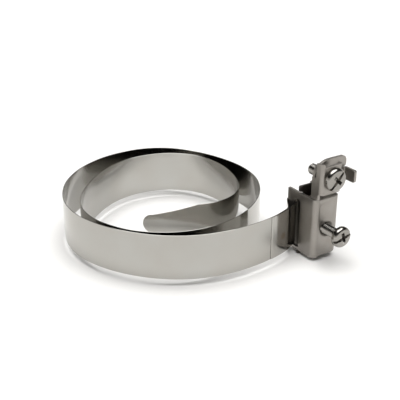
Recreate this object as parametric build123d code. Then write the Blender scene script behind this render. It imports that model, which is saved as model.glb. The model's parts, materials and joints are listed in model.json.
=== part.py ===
"""Band type earthing pipe clamp, in millimetres.

Working frame: X runs along the width of the clamp head, from the outer face of
its left leg.  Y runs back from the front face of the head towards the pipe.
Z is up, with 0 at the lower edge of the band.  Every solid is moved at the end
so that the bounding box stands centred on the origin.
"""
import math
import os

from build123d import *

# Sheet of the clamp head
SHEET = 1.6
HEAD_WIDTH = 17.0
HEAD_BOTTOM = -2.4
HEAD_TOP = 31.8
BEND = 3.4
CORNER_RELIEF = 4.0
FRONT_LIFT = 0.9

# Band
BAND_THICKNESS = 0.3
BAND_WIDTH = 25.0
LAYER_GAP = 0.05
LOOP_CLEARANCE = 0.08
LEAVE_POINT = (-8.87, 12.45)
LEAVE_HEADING = 198.8
LEAVE_FILLET = 6.0
RUN_TURN = 8.0
RUN_BEND = 9.0
TAIL_LENGTH = 13.5
WELD_DIAMETER = 4.0
WELD_DISTANCE = 5.2
WELD_HEIGHT = 10.5
TURN_LENGTH = 39.5
TURN_DEGREES = (25, 37, 30, 41, 33, 35, 58, 24, 44, 33, 47, 45, 54, 20, 51, 67, 34, 86)
TONGUE_LENGTH = 31.0
TONGUE_TURN = 26.0
TONGUE_TIP_WIDTH = 11.2
CUT_REACH = 5.0

# Slots in the legs
BAR_DEPTH = 5.5
SLOT_DEPTH = 5.1
SLOT_BOTTOM = -0.7
SLOT_TOP = 27.8
SLOT_CORNER = 1.0
SLOT_TOP_CORNER = 2.2

# Screws, both M6 with a pan head
SHANK_RADIUS = 3.0
RUNNING_CLEARANCE = 0.05
TENSION_HEAD_RADIUS = 5.8
TERMINAL_HEAD_RADIUS = 6.4
HEAD_HEIGHT = 3.5
HEAD_ROUNDING = 1.5
HEAD_EDGE = 0.3
TIP_CHAMFER = 0.6
DRIVE_WIDTH = 1.5
DRIVE_DEPTH = 1.7
CROSS_SPAN = 6.2
CROSS_DEPTH = 2.1

# Tension screw and pressure plate
TENSION_X = HEAD_WIDTH / 2
TENSION_Z = 13.8
TENSION_STANDOFF = 10.4
TENSION_SLOT_ANGLE = 15
DISH_WIDTH = 1.5
DISH_DEPTH = 1.3
PLATE_FRONT = 12.0
PLATE_SHEET = 1.6
PLATE_GAP = 0.3
EAR_REACH = 0.7
EAR_GAP = 1.2
EAR_HEIGHT = 3.2
FOOT_REACH = 0.4
FOOT_GAP = 0.35
FOOT_HEIGHT = 1.5
EAR_CORNER = 0.8
FOOT_CORNER = 0.6
WAIST_GAP = 1.0
FLANGE_REACH = 8.2
FLANGE_BEND = 2.4
FLANGE_BOTTOM_GAP = 0.2
FLANGE_TOP_GAP = 2.0
WINDOW_HEIGHT = 3.6
WINDOW_GAP = 2.2
WINDOW_CORNER = 1.5
TIP_GAP = 0.05

# Upright with its forward arm
SHELF_RISE = 1.6
NECK_STEP = 2.6
UPRIGHT_FRONT = 5.4
UPRIGHT_HEIGHT = 18.0
UPRIGHT_CORNER = 1.2
CROWN_LEFT = 10.0
CROWN_RIGHT = 3.0
SHOULDER_RISE = 4.2
ARM_OVERHANG = 8.4
ARM_HEIGHT = 6.8
ARM_REACH = 7.6
ARM_CORNER = 0.9
ARM_BEND = 3.2
ARM_RELIEF = 0.8
STEP_BACK = 0.9
SHELF_BEND = 2.4
INNER_BEND = 0.8
COLLAR_WALL = 1.3
COLLAR_LENGTH = 2.2

# Terminal saddle and its screw
TERMINAL_X = HEAD_WIDTH / 2 + 0.4
TERMINAL_RISE = 10.2
TERMINAL_SCREW_LENGTH = 18.0
TERMINAL_SLOT_ANGLE = 47
SADDLE_SHEET = 1.5
SADDLE_GAP = 2.5
SADDLE_LEFT = 0.6
SADDLE_WIDTH = 14.4
SADDLE_FOOT_GAP = 2.0
SADDLE_HEIGHT = 15.9
SADDLE_BEND = 2.2
SADDLE_CLEARANCE = 0.3
WING_GAP = 0.3
WING_DROP = 3.1
WING_RISE = 1.4
WING_STEP = 8.6
LONG_WING_OVERLAP = 0.3
LEFT_WING = 3.0
RIGHT_WING = 1.6

# Sizes that follow from those above
SHELF_TOP = HEAD_TOP + SHELF_RISE
SHOULDER = SHELF_TOP + SHOULDER_RISE
UPRIGHT_BACK = UPRIGHT_FRONT + SHEET
UPRIGHT_LEFT = SADDLE_LEFT + SADDLE_SHEET + WING_GAP
UPRIGHT_RIGHT = HEAD_WIDTH + ARM_OVERHANG
UPRIGHT_TOP = SHELF_TOP + UPRIGHT_HEIGHT
ARM_TOP = SHOULDER + ARM_HEIGHT
ARM_FRONT = UPRIGHT_FRONT - ARM_REACH
TERMINAL_Z = SHELF_TOP + TERMINAL_RISE
THREAD_HOLE = SHANK_RADIUS + RUNNING_CLEARANCE
COLLAR_RADIUS = THREAD_HOLE + COLLAR_WALL
SADDLE_FRONT = -SADDLE_GAP
SADDLE_RIGHT = SADDLE_LEFT + SADDLE_WIDTH
SADDLE_BOTTOM = SHELF_TOP + SADDLE_FOOT_GAP
SADDLE_TOP = SADDLE_BOTTOM + SADDLE_HEIGHT
WING_BOTTOM = SADDLE_BOTTOM - WING_DROP
WING_TOP = SADDLE_TOP + WING_RISE
LONG_WING_BACK = UPRIGHT_FRONT - LONG_WING_OVERLAP
LEFT_WING_BACK = SADDLE_FRONT + SADDLE_SHEET + LEFT_WING
RIGHT_WING_BACK = SADDLE_FRONT + SADDLE_SHEET + RIGHT_WING


def heading_vector(degrees):
    """Unit vector of a heading in the plan."""
    return math.cos(math.radians(degrees)), math.sin(math.radians(degrees))


def to_the_left(point, degrees, distance):
    """Point moved sideways, to the left of a heading."""
    ux, uy = heading_vector(degrees)
    return point[0] - uy * distance, point[1] + ux * distance


def turn_radius(degrees):
    """Radius of a stretch of the coil, from how far it turns along its length."""
    return TURN_LENGTH / math.radians(degrees)


class Path:
    """A plan path of lines and arcs that always meet with one tangent."""

    def __init__(self, point, heading):
        """Start the path at a point with a heading in degrees."""
        self.point = point
        self.heading = heading
        self.pieces = []

    def line(self, length):
        """Add a straight run."""
        ux, uy = heading_vector(self.heading)
        self.pieces.append(("line", self.point, self.heading, length, 0.0))
        self.point = (self.point[0] + ux * length, self.point[1] + uy * length)

    def arc(self, radius, turn):
        """Add an arc, with a positive turn to the left."""
        side = 1 if turn > 0 else -1
        self.pieces.append(("arc", self.point, self.heading, radius, turn))
        centre = to_the_left(self.point, self.heading, side * radius)
        self.heading += turn
        self.point = to_the_left(centre, self.heading, -side * radius)

    def edges(self, offset):
        """Edges of the path moved to its left by an offset."""
        made = []
        for kind, point, heading, size, turn in self.pieces:
            start = to_the_left(point, heading, offset)
            if kind == "line":
                ux, uy = heading_vector(heading)
                finish = (start[0] + ux * size, start[1] + uy * size)
                made.append(Line(start, finish).edge())
            else:
                side = 1 if turn > 0 else -1
                centre = to_the_left(point, heading, side * size)
                away = side * size - offset
                middle = to_the_left(centre, heading + turn / 2, -away)
                finish = to_the_left(centre, heading + turn, -away)
                made.append(ThreePointArc(start, middle, finish).edge())
        return made

    def ends(self, offset):
        """Start and finish of the path moved to its left by an offset."""
        first = self.pieces[0]
        return to_the_left(first[1], first[2], offset), to_the_left(self.point, self.heading, offset)


def band_path():
    """Middle line of the band, from its welded tail to the tip of its tongue."""
    pitch = BAND_THICKNESS + LAYER_GAP
    half = SHEET / 2
    wrap = math.hypot(half, half) + LOOP_CLEARANCE + BAND_THICKNESS / 2
    first = turn_radius(TURN_DEGREES[0])
    tail_turn = math.degrees(TAIL_LENGTH / (first + pitch))

    # the run into the slot bends back a little and is then a tangent of the bar's front corner
    level = LEAVE_HEADING - 180
    run = level + RUN_TURN
    bend_centre = to_the_left(to_the_left(LEAVE_POINT, LEAVE_HEADING, pitch), level, RUN_BEND)
    run_start = to_the_left(bend_centre, run, -RUN_BEND)
    ux, uy = heading_vector(run)
    front_y = run_start[1] + (wrap + uy * (half - run_start[0])) / ux
    along = (half - run_start[0]) * ux + (front_y - run_start[1]) * uy

    # the run back from the rear corner ends in the fillet at the leave point
    rear_y = front_y + BAR_DEPTH - SHEET
    low, high = LEAVE_HEADING + 1, LEAVE_HEADING + 60
    for _ in range(60):
        middle = (low + high) / 2
        centre = to_the_left(LEAVE_POINT, LEAVE_HEADING, -LEAVE_FILLET)
        bend = to_the_left(centre, middle, LEAVE_FILLET)
        touch = to_the_left((half, rear_y), middle, -wrap)
        mx, my = heading_vector(middle)
        across = (bend[0] - touch[0]) * my - (bend[1] - touch[1]) * mx
        if across > 0:
            high = middle
        else:
            low = middle
    back = (low + high) / 2
    mx, my = heading_vector(back)
    back_length = (bend[0] - touch[0]) * mx + (bend[1] - touch[1]) * my

    centre = to_the_left(LEAVE_POINT, LEAVE_HEADING, -first)
    start = to_the_left(centre, LEAVE_HEADING - tail_turn, first + pitch)
    path = Path(start, level - tail_turn)
    path.arc(first + pitch, tail_turn)
    path.arc(RUN_BEND, RUN_TURN)
    path.line(along)
    path.arc(wrap, 90 - run)
    path.line(rear_y - front_y)
    path.arc(wrap, back - 90)
    path.line(back_length)
    path.arc(LEAVE_FILLET, LEAVE_HEADING - back)
    for degrees in TURN_DEGREES:
        path.arc(turn_radius(degrees), -degrees)
    tongue_root = path.point
    path.arc(TONGUE_LENGTH / math.radians(TONGUE_TURN), -TONGUE_TURN)
    return path, front_y, rear_y, tongue_root


def plan_solid(edges, bottom, top):
    """Solid between two heights over a closed plan outline."""
    face = Face(Wire.combine(edges)[0])
    return extrude(face.moved(Location((0, 0, bottom))), amount=top - bottom, dir=(0, 0, 1))


def box(x, y, z):
    """Box between pairs of limits."""
    size = (x[1] - x[0], y[1] - y[0], z[1] - z[0])
    return Pos(x[0] + size[0] / 2, y[0] + size[1] / 2, z[0] + size[2] / 2) * Box(*size)


def rod(x, z, radius, start, finish):
    """Cylinder along Y."""
    middle = Pos(x, (start + finish) / 2, z)
    return middle * Rot(90, 0, 0) * Cylinder(radius, finish - start)


def cone(x, z, front_radius, back_radius, start, finish):
    """Cone along Y, from its front radius to its back radius."""
    middle = Pos(x, (start + finish) / 2, z)
    return middle * Rot(90, 0, 0) * Cone(back_radius, front_radius, finish - start)


def sheet_front(x, z, corner, y):
    """Rounded rectangle of sheet that faces the front."""
    sketch = RectangleRounded(x[1] - x[0], z[1] - z[0], corner)
    middle = ((x[0] + x[1]) / 2, y[1], (z[0] + z[1]) / 2)
    plane = Plane(origin=middle, x_dir=(1, 0, 0), z_dir=(0, -1, 0))
    return extrude(plane * sketch, amount=y[1] - y[0])


def corners_at(face, x, y):
    """Vertices of a plan or side outline at one point."""
    return face.vertices().filter_by(lambda v: math.hypot(v.X - x, v.Y - y) < 0.01)


def make_band(path, tongue_root):
    """Band with its welded tail and tapered tongue."""
    half = BAND_THICKNESS / 2
    left = path.edges(half)
    right = path.edges(-half)
    left_start, left_end = path.ends(half)
    right_start, right_end = path.ends(-half)
    caps = [Line(left_start, right_start).edge(), Line(left_end, right_end).edge()]
    band = plan_solid(left + right + caps, 0, BAND_WIDTH)

    # tongue: the corners above and below the taper are cut away, seen square to its chord
    chord = (path.point[0] - tongue_root[0], path.point[1] - tongue_root[1])
    length = math.hypot(*chord)
    ux, uy = chord[0] / length, chord[1] / length
    middle = BAND_WIDTH / 2
    tip = TONGUE_TIP_WIDTH / 2
    plane = Plane(origin=(tongue_root[0], tongue_root[1], middle), x_dir=(ux, uy, 0), z_dir=(-uy, ux, 0))
    taper = [(0, middle + 1), (0, middle), (length - tip, tip)]
    outer = [(length + 1, tip), (length + 1, middle + 1)]
    for side in (1, -1):
        points = [(x, side * y) for x, y in taper + outer]
        cut = extrude(plane * make_face(Polyline(points + points[:1])), amount=CUT_REACH, both=True)
        band -= cut
    end = plane * Pos(length, 0) * Rectangle(2 * tip, 2 * tip + 0.2)
    end -= plane * Pos(length - tip, 0) * Circle(tip)
    band -= extrude(end, amount=CUT_REACH, both=True)

    # weld between the tail and the band
    first = turn_radius(TURN_DEGREES[0])
    turn = math.degrees(WELD_DISTANCE / first)
    centre = to_the_left(LEAVE_POINT, LEAVE_HEADING, -first)
    spot = to_the_left(centre, LEAVE_HEADING - turn, first)
    ux, uy = heading_vector(LEAVE_HEADING - turn)
    out = (-uy, ux, 0)
    plane = Plane(origin=(spot[0], spot[1], WELD_HEIGHT), x_dir=(ux, uy, 0), z_dir=out)
    weld = extrude(plane * Circle(WELD_DIAMETER / 2), amount=BAND_THICKNESS + LAYER_GAP)
    return band + weld


def slot_cut(x, front, back):
    """Slot through a leg, with rounder corners at its top."""
    depth = back - front
    plane = Plane(origin=(x[0], (front + back) / 2, 0), x_dir=(0, 1, 0), z_dir=(1, 0, 0))
    height = SLOT_TOP - SLOT_BOTTOM
    shape = Pos(0, SLOT_BOTTOM + height / 2) * RectangleRounded(depth, height, SLOT_CORNER)
    upper = Pos(0, SLOT_TOP - height / 4) * Rectangle(depth, height / 2)
    upper -= Pos(0, SLOT_TOP - height / 2) * RectangleRounded(depth, height, SLOT_TOP_CORNER)
    shape -= upper
    return extrude(plane * shape, amount=x[1] - x[0])


def make_bracket(leg_back, slot_back):
    """Head: front, two slotted legs, and the upright with its arm."""
    right = HEAD_WIDTH
    inner = BEND - SHEET
    outline = Polyline((0, leg_back), (0, 0), (right, 0), (right, leg_back), (right - SHEET, leg_back),
                       (right - SHEET, SHEET), (SHEET, SHEET), (SHEET, leg_back), (0, leg_back))
    face = make_face(outline)
    outer_corners = face.vertices().filter_by(lambda v: v.Y < 0.01)
    face = fillet(outer_corners, BEND)
    inner_corners = face.vertices().filter_by(lambda v: abs(v.Y - SHEET) < 0.01)
    face = fillet(inner_corners, inner)
    head = extrude(Pos(0, 0, HEAD_BOTTOM) * face, amount=HEAD_TOP - HEAD_BOTTOM, dir=(0, 0, 1))

    # lower edge of the front sits a little higher than the bends
    front_bottom = HEAD_BOTTOM + FRONT_LIFT
    relief_top = front_bottom + CORNER_RELIEF
    head -= box((BEND, right + 1), (-1, BEND), (HEAD_BOTTOM - 1, front_bottom))
    relief = box((right - CORNER_RELIEF, right + 1), (-1, BEND), (HEAD_BOTTOM - 1, relief_top))
    relief -= rod(right - CORNER_RELIEF, relief_top, CORNER_RELIEF, -2, BEND + 1)
    head -= relief

    for x in ((-1, SHEET + 1), (right - SHEET - 1, right + 1)):
        head -= slot_cut(x, slot_back - SLOT_DEPTH, slot_back)

    # shelf from the front to the upright, both rounded like a bent sheet
    lap = HEAD_TOP - BEND
    shelf_under = SHELF_TOP - SHEET
    side = Polyline((0, lap), (0, SHELF_TOP), (UPRIGHT_FRONT, SHELF_TOP), (UPRIGHT_FRONT, SHOULDER + 1),
                    (UPRIGHT_BACK, SHOULDER + 1), (UPRIGHT_BACK, shelf_under), (SHEET, shelf_under),
                    (SHEET, lap), (0, lap))
    face = make_face(side)
    for y, z, radius in ((0, SHELF_TOP, SHELF_BEND), (SHEET, shelf_under, INNER_BEND),
                         (UPRIGHT_FRONT, SHELF_TOP, INNER_BEND), (UPRIGHT_BACK, shelf_under, SHELF_BEND)):
        face = fillet(corners_at(face, y, z), radius)
    plane = Plane(origin=(NECK_STEP, 0, 0), x_dir=(0, 1, 0), z_dir=(1, 0, 0))
    head += extrude(plane * face, amount=right - 2 * NECK_STEP)

    # plate of the upright with its rounded crown, stepped in at its right end above the arm
    sheet = (UPRIGHT_FRONT, UPRIGHT_BACK)
    bend_start = UPRIGHT_RIGHT - ARM_BEND
    step_left = bend_start - 2 * UPRIGHT_CORNER
    head += sheet_front((UPRIGHT_LEFT, bend_start), (SHOULDER, UPRIGHT_TOP), UPRIGHT_CORNER, sheet)
    head += sheet_front((step_left, UPRIGHT_RIGHT - STEP_BACK), (ARM_TOP + ARM_RELIEF, UPRIGHT_TOP),
                        UPRIGHT_CORNER, sheet)
    head += box((step_left, bend_start), sheet, (SHOULDER + UPRIGHT_CORNER, UPRIGHT_TOP - UPRIGHT_CORNER))
    through = (UPRIGHT_FRONT - 1, UPRIGHT_BACK + 1)
    for edge, side, radius in ((UPRIGHT_LEFT, 1, CROWN_LEFT), (UPRIGHT_RIGHT - STEP_BACK, -1, CROWN_RIGHT)):
        middle = (edge + side * radius, UPRIGHT_TOP - radius)
        crown = box(sorted((edge - side, middle[0])), through, (middle[1], UPRIGHT_TOP + 1))
        head -= crown - rod(*middle, radius, *through)
    elbow_left = bend_start - UPRIGHT_CORNER
    elbow = Polyline((elbow_left, UPRIGHT_BACK), (UPRIGHT_RIGHT, UPRIGHT_BACK), (UPRIGHT_RIGHT, ARM_FRONT),
                     (UPRIGHT_RIGHT - SHEET, ARM_FRONT), (UPRIGHT_RIGHT - SHEET, UPRIGHT_FRONT),
                     (elbow_left, UPRIGHT_FRONT), (elbow_left, UPRIGHT_BACK))
    face = make_face(elbow)
    face = fillet(corners_at(face, UPRIGHT_RIGHT, UPRIGHT_BACK), SHELF_BEND)
    face = fillet(corners_at(face, UPRIGHT_RIGHT - SHEET, UPRIGHT_FRONT), INNER_BEND)
    arm = extrude(Pos(0, 0, SHOULDER) * face, amount=ARM_HEIGHT, dir=(0, 0, 1))
    plane = Plane(origin=(elbow_left - 1, 0, 0), x_dir=(0, 1, 0), z_dir=(1, 0, 0))
    reach = 2 * ARM_REACH + 2 * SHEET
    profile = Pos(ARM_FRONT + reach / 2, (SHOULDER + ARM_TOP) / 2) * RectangleRounded(reach, ARM_HEIGHT, ARM_CORNER)
    head += arm & extrude(plane * profile, amount=UPRIGHT_RIGHT - elbow_left + 2)

    # threaded holes: one dished and drawn inwards, one with a collar behind
    tension_end = SHEET + COLLAR_LENGTH
    terminal_end = UPRIGHT_BACK + COLLAR_LENGTH
    head += rod(TENSION_X, TENSION_Z, COLLAR_RADIUS, SHEET / 2, tension_end)
    head -= rod(TENSION_X, TENSION_Z, THREAD_HOLE, -1, tension_end + 1)
    head -= cone(TENSION_X, TENSION_Z, THREAD_HOLE + DISH_WIDTH, THREAD_HOLE, 0, DISH_DEPTH)
    head += rod(TERMINAL_X, TERMINAL_Z, COLLAR_RADIUS, UPRIGHT_FRONT + SHEET / 2, terminal_end)
    head -= rod(TERMINAL_X, TERMINAL_Z, THREAD_HOLE, UPRIGHT_FRONT - 1, terminal_end + 1)
    return head


def make_screw(x, z, radius, under, length, angle):
    """Pan head M6 screw with a slot and a cross recess, its head to the front."""
    face = under - HEAD_HEIGHT
    head = rod(x, z, radius, face, under)
    rims = head.edges().filter_by(GeomType.CIRCLE).sort_by(Axis.Y)
    head = fillet(rims[0], HEAD_ROUNDING)
    rims = head.edges().filter_by(GeomType.CIRCLE).sort_by(Axis.Y)
    head = fillet(rims[-1], HEAD_EDGE)
    shank = rod(x, z, SHANK_RADIUS, under - HEAD_EDGE, under + length)
    tip = shank.edges().filter_by(GeomType.CIRCLE).sort_by(Axis.Y)[-1]
    screw = head + chamfer(tip, TIP_CHAMFER)
    turned = Pos(x, face, z) * Rot(0, -angle, 0)
    screw -= turned * Box(2 * radius + 1, 2 * DRIVE_DEPTH, DRIVE_WIDTH)
    screw -= turned * Box(DRIVE_WIDTH, 2 * CROSS_DEPTH, CROSS_SPAN)
    return screw


def make_plate():
    """Pressure plate that slides on the legs, with ears above them, a foot below and two flanges to the pipe."""
    right = HEAD_WIDTH
    y = (PLATE_FRONT, PLATE_FRONT + PLATE_SHEET)
    through = (y[0] - 1, y[1] + 1)
    side = SHEET + PLATE_GAP
    waist = SHEET + LOOP_CLEARANCE + BAND_THICKNESS + WAIST_GAP
    foot_top = HEAD_BOTTOM - FOOT_GAP
    foot = foot_top - FOOT_HEIGHT
    ear_bottom = HEAD_TOP + EAR_GAP
    ear_top = ear_bottom + EAR_HEIGHT
    plate = box((side, right - side), y, (foot, ear_bottom + EAR_HEIGHT / 2))
    for x in ((0, waist), (right - waist, right)):
        plate -= box(x, through, (HEAD_BOTTOM, SLOT_TOP))
    plate += sheet_front((-EAR_REACH, right + EAR_REACH), (ear_bottom, ear_top), EAR_CORNER, y)
    plate += sheet_front((-FOOT_REACH, right + FOOT_REACH), (foot, foot_top), FOOT_CORNER, y)

    # folded section: a flange on each side, whose edges meet the pipe
    inner = waist + PLATE_SHEET
    back = y[0] + FLANGE_REACH
    section = Polyline((waist, back), (waist, y[0]), (right - waist, y[0]), (right - waist, back),
                       (right - inner, back), (right - inner, y[1]), (inner, y[1]), (inner, back), (waist, back))
    face = make_face(section)
    face = fillet(corners_at(face, waist, y[0]) + corners_at(face, right - waist, y[0]), FLANGE_BEND)
    face = fillet(corners_at(face, inner, y[1]) + corners_at(face, right - inner, y[1]), FLANGE_BEND - PLATE_SHEET)
    bottom, top = HEAD_BOTTOM - FLANGE_BOTTOM_GAP, SLOT_TOP - FLANGE_TOP_GAP
    middle = box((waist - 1, right - waist + 1), through, (bottom, top))
    plate -= middle
    plate += extrude(Pos(0, 0, bottom) * face, amount=top - bottom, dir=(0, 0, 1))
    window_top = HEAD_TOP - WINDOW_GAP
    window = sheet_front((inner, right - inner), (window_top - WINDOW_HEIGHT, window_top), WINDOW_CORNER, through)
    return plate - window


def make_saddle():
    """Clamping saddle: a front with a wing on each side, the left one deeper at its foot."""
    left, right = SADDLE_LEFT, SADDLE_RIGHT
    front, back = SADDLE_FRONT, SADDLE_FRONT + SADDLE_SHEET
    outline = Polyline((left, LONG_WING_BACK), (left, front), (right, front), (right, RIGHT_WING_BACK),
                       (right - SADDLE_SHEET, RIGHT_WING_BACK), (right - SADDLE_SHEET, back),
                       (left + SADDLE_SHEET, back), (left + SADDLE_SHEET, LONG_WING_BACK), (left, LONG_WING_BACK))
    face = make_face(outline)
    face = fillet(corners_at(face, left, front) + corners_at(face, right, front), SADDLE_BEND)
    inner = corners_at(face, left + SADDLE_SHEET, back) + corners_at(face, right - SADDLE_SHEET, back)
    face = fillet(inner, SADDLE_BEND - SADDLE_SHEET)
    saddle = extrude(Pos(0, 0, WING_BOTTOM) * face, amount=WING_TOP - WING_BOTTOM, dir=(0, 0, 1))

    # the left wing is deep only below its step, and both wings rise above the front
    below = (WING_BOTTOM - 1, SADDLE_BOTTOM)
    step = SADDLE_BOTTOM + WING_STEP
    saddle -= box((left - 1, left + SADDLE_BEND), (LEFT_WING_BACK, LONG_WING_BACK + 1), (step, WING_TOP + 1))
    saddle -= box((left - 1, right + 1), (front - 1, front + SADDLE_BEND), below)
    saddle -= box((left + SADDLE_BEND, right + 1), (front - 1, LONG_WING_BACK), below)
    saddle -= box((left + SADDLE_BEND, right + 1), (front - 1, RIGHT_WING_BACK + 1), (SADDLE_TOP, WING_TOP + 1))
    clear = SHANK_RADIUS + SADDLE_CLEARANCE
    return saddle - rod(TERMINAL_X, TERMINAL_Z, clear, front - 1, back + 1)


path, front_corner, rear_corner, tongue_root = band_path()
leg_back = rear_corner + SHEET / 2
slot_back = front_corner - SHEET / 2
tension_under = -TENSION_STANDOFF
tension_length = PLATE_FRONT - TIP_GAP - tension_under
terminal_under = SADDLE_FRONT - TIP_GAP

solids = {
    "band": make_band(path, tongue_root),
    "head_bracket": make_bracket(leg_back, slot_back),
    "pressure_plate": make_plate(),
    "tension_screw": make_screw(TENSION_X, TENSION_Z, TENSION_HEAD_RADIUS, tension_under, tension_length,
                                TENSION_SLOT_ANGLE),
    "terminal_saddle": make_saddle(),
    "terminal_screw": make_screw(TERMINAL_X, TERMINAL_Z, TERMINAL_HEAD_RADIUS, terminal_under,
                                 TERMINAL_SCREW_LENGTH, TERMINAL_SLOT_ANGLE),
}

boxes = [solid.bounding_box() for solid in solids.values()]
low = [min(getattr(b.min, axis) for b in boxes) for axis in "XYZ"]
high = [max(getattr(b.max, axis) for b in boxes) for axis in "XYZ"]
shift = Pos(-(low[0] + high[0]) / 2, -(low[1] + high[1]) / 2, -low[2])

os.makedirs("parts", exist_ok=True)
for name, solid in solids.items():
    whole = solid.solids()
    assert len(whole) == 1, (name, len(whole))
    moved = shift * whole[0]
    moved.label = name
    export_step(moved, f"parts/{name}.step")
    b = moved.bounding_box()
    print(name, [round(v, 2) for v in (*b.min, *b.max)], "volume", round(moved.volume, 1))
print("shift", [round(v, 3) for v in shift.position])
print("leg back", round(leg_back, 3), "slot back", round(slot_back, 3))
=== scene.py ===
"""Earthing pipe clamp: a coiled stainless strap on a folded head, with two plated screws.

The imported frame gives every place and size.  The strap is rebuilt as one smooth strip along
the line of its solid, the folded sheets get rounded edges, and the screws get real threads
and recesses.  Everything is in metres, in the frame's own axes.
"""
from __future__ import annotations

import json
import logging
import math
from dataclasses import dataclass, field
from enum import Enum
from typing import Any

import bmesh
import bpy
import numpy as np
from mathutils import Matrix, Vector

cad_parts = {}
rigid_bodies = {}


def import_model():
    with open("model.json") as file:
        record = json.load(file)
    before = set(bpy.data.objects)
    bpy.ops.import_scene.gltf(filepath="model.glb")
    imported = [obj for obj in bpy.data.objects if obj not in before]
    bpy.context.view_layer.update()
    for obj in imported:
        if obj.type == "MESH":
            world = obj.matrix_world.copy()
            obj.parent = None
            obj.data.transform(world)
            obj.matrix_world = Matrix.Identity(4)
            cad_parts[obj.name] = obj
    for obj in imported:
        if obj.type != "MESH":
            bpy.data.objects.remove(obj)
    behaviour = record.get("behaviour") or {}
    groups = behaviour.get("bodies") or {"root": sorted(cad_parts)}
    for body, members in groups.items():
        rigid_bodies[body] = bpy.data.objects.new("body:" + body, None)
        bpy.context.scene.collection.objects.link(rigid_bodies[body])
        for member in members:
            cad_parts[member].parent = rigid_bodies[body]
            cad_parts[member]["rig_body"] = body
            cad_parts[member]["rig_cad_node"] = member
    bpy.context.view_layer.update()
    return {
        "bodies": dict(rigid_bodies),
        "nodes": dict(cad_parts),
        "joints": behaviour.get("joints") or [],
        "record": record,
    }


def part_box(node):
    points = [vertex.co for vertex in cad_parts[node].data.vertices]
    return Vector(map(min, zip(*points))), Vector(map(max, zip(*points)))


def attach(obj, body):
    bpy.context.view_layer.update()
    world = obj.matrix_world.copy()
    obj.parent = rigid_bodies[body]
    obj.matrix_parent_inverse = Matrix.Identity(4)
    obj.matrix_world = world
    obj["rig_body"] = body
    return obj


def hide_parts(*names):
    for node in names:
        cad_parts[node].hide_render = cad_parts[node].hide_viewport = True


MM = 0.001
UV_ALONG = "along"
LOG = logging.getLogger("earthing_clamp")

Colour = tuple[float, float, float, float]


class Slot(Enum):
    """Material slots of the record, listed beside the finished pieces; the build does not read them."""

    STRAP = "strap"
    HEAD = "head"
    PLATE = "plate"
    SCREWS = "screws"


# Nodes and materials


def srgb(code: str) -> Colour:
    """Turn an sRGB hex colour into the linear colour that a socket takes.

    Args:
        code: Colour such as "#bab3a9".

    Returns:
        Linear red, green, blue and an alpha of 1.
    """
    parts = [int(code[i:i + 2], 16) / 255 for i in (1, 3, 5)]
    linear = [c / 12.92 if c <= 0.04045 else ((c + 0.055) / 1.055) ** 2.4 for c in parts]
    return linear[0], linear[1], linear[2], 1.0


def add_node(tree: bpy.types.NodeTree, kind: str, settings: dict[str, Any] | None = None,
             inputs: dict[Any, Any] | None = None) -> bpy.types.Node:
    """Add a node to a tree with its settings, values and links.

    Args:
        tree: Tree that gets the node.
        kind: The node's type name.
        settings: Properties of the node by name.
        inputs: Values, or sockets to link from, by the input's name or number.

    Returns:
        The new node.
    """
    node = tree.nodes.new(kind)
    for name, value in (settings or {}).items():
        setattr(node, name, value)
    for key, value in (inputs or {}).items():
        if isinstance(value, bpy.types.NodeSocket):
            tree.links.new(value, node.inputs[key])
        else:
            node.inputs[key].default_value = value
    return node


def add_noise(tree: bpy.types.NodeTree, place: bpy.types.NodeSocket, scale: float, detail: float,
              roughness: float) -> bpy.types.NodeSocket:
    """Add a noise texture.

    Args:
        tree: Tree that gets the texture.
        place: Socket with the coordinates.
        scale: Clouds per unit of the coordinates.
        detail: Number of finer layers.
        roughness: Weight of the finer layers.

    Returns:
        The noise's value, about 0.3 to 0.7.
    """
    inputs = {"Vector": place, "Scale": scale, "Detail": detail, "Roughness": roughness}
    return add_node(tree, "ShaderNodeTexNoise", inputs=inputs).outputs["Fac"]


def add_mix(tree: bpy.types.NodeTree, share: bpy.types.NodeSocket, first: Any,
            second: Any) -> bpy.types.NodeSocket:
    """Blend two colours.

    Args:
        tree: Tree that gets the node.
        share: Socket with the share of the second colour.
        first: Colour, or socket, where the share is 0.
        second: Colour, or socket, where the share is 1.

    Returns:
        The blended colour.
    """
    inputs = {"Factor": share, "A": first, "B": second}
    return add_node(tree, "ShaderNodeMix", {"data_type": "RGBA"}, inputs).outputs["Result"]


def add_gloss(tree: bpy.types.NodeTree, noise: bpy.types.NodeSocket, low: float,
              high: float) -> bpy.types.NodeSocket:
    """Spread a noise's usual values over a range of roughness.

    Args:
        tree: Tree that gets the node.
        noise: Socket with the noise.
        low: Roughness at the noise's low end.
        high: Roughness at its high end.

    Returns:
        The roughness.
    """
    faint, strong = 0.3, 0.7
    inputs = {"Value": noise, "From Min": faint, "From Max": strong, "To Min": low, "To Max": high}
    return add_node(tree, "ShaderNodeMapRange", inputs=inputs).outputs["Result"]


def add_relief(tree: bpy.types.NodeTree, height: bpy.types.NodeSocket, strength: float,
               depth: float) -> bpy.types.NodeSocket:
    """Turn a height into a fine relief of the surface.

    Args:
        tree: Tree that gets the node.
        height: Socket with the height.
        strength: Share of the relief that shows.
        depth: Depth in metres for a height of 1.

    Returns:
        The bent normal.
    """
    inputs = {"Height": height, "Strength": strength, "Distance": depth}
    return add_node(tree, "ShaderNodeBump", inputs=inputs).outputs[0]


def new_material(name: str) -> tuple[bpy.types.Material, bpy.types.NodeTree, bpy.types.Node]:
    """Make an empty material.

    Args:
        name: Name of the finish.

    Returns:
        The material, its node tree and its surface node.
    """
    material = bpy.data.materials.new(name)
    material.use_nodes = True
    return material, material.node_tree, material.node_tree.nodes["Principled BSDF"]


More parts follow.
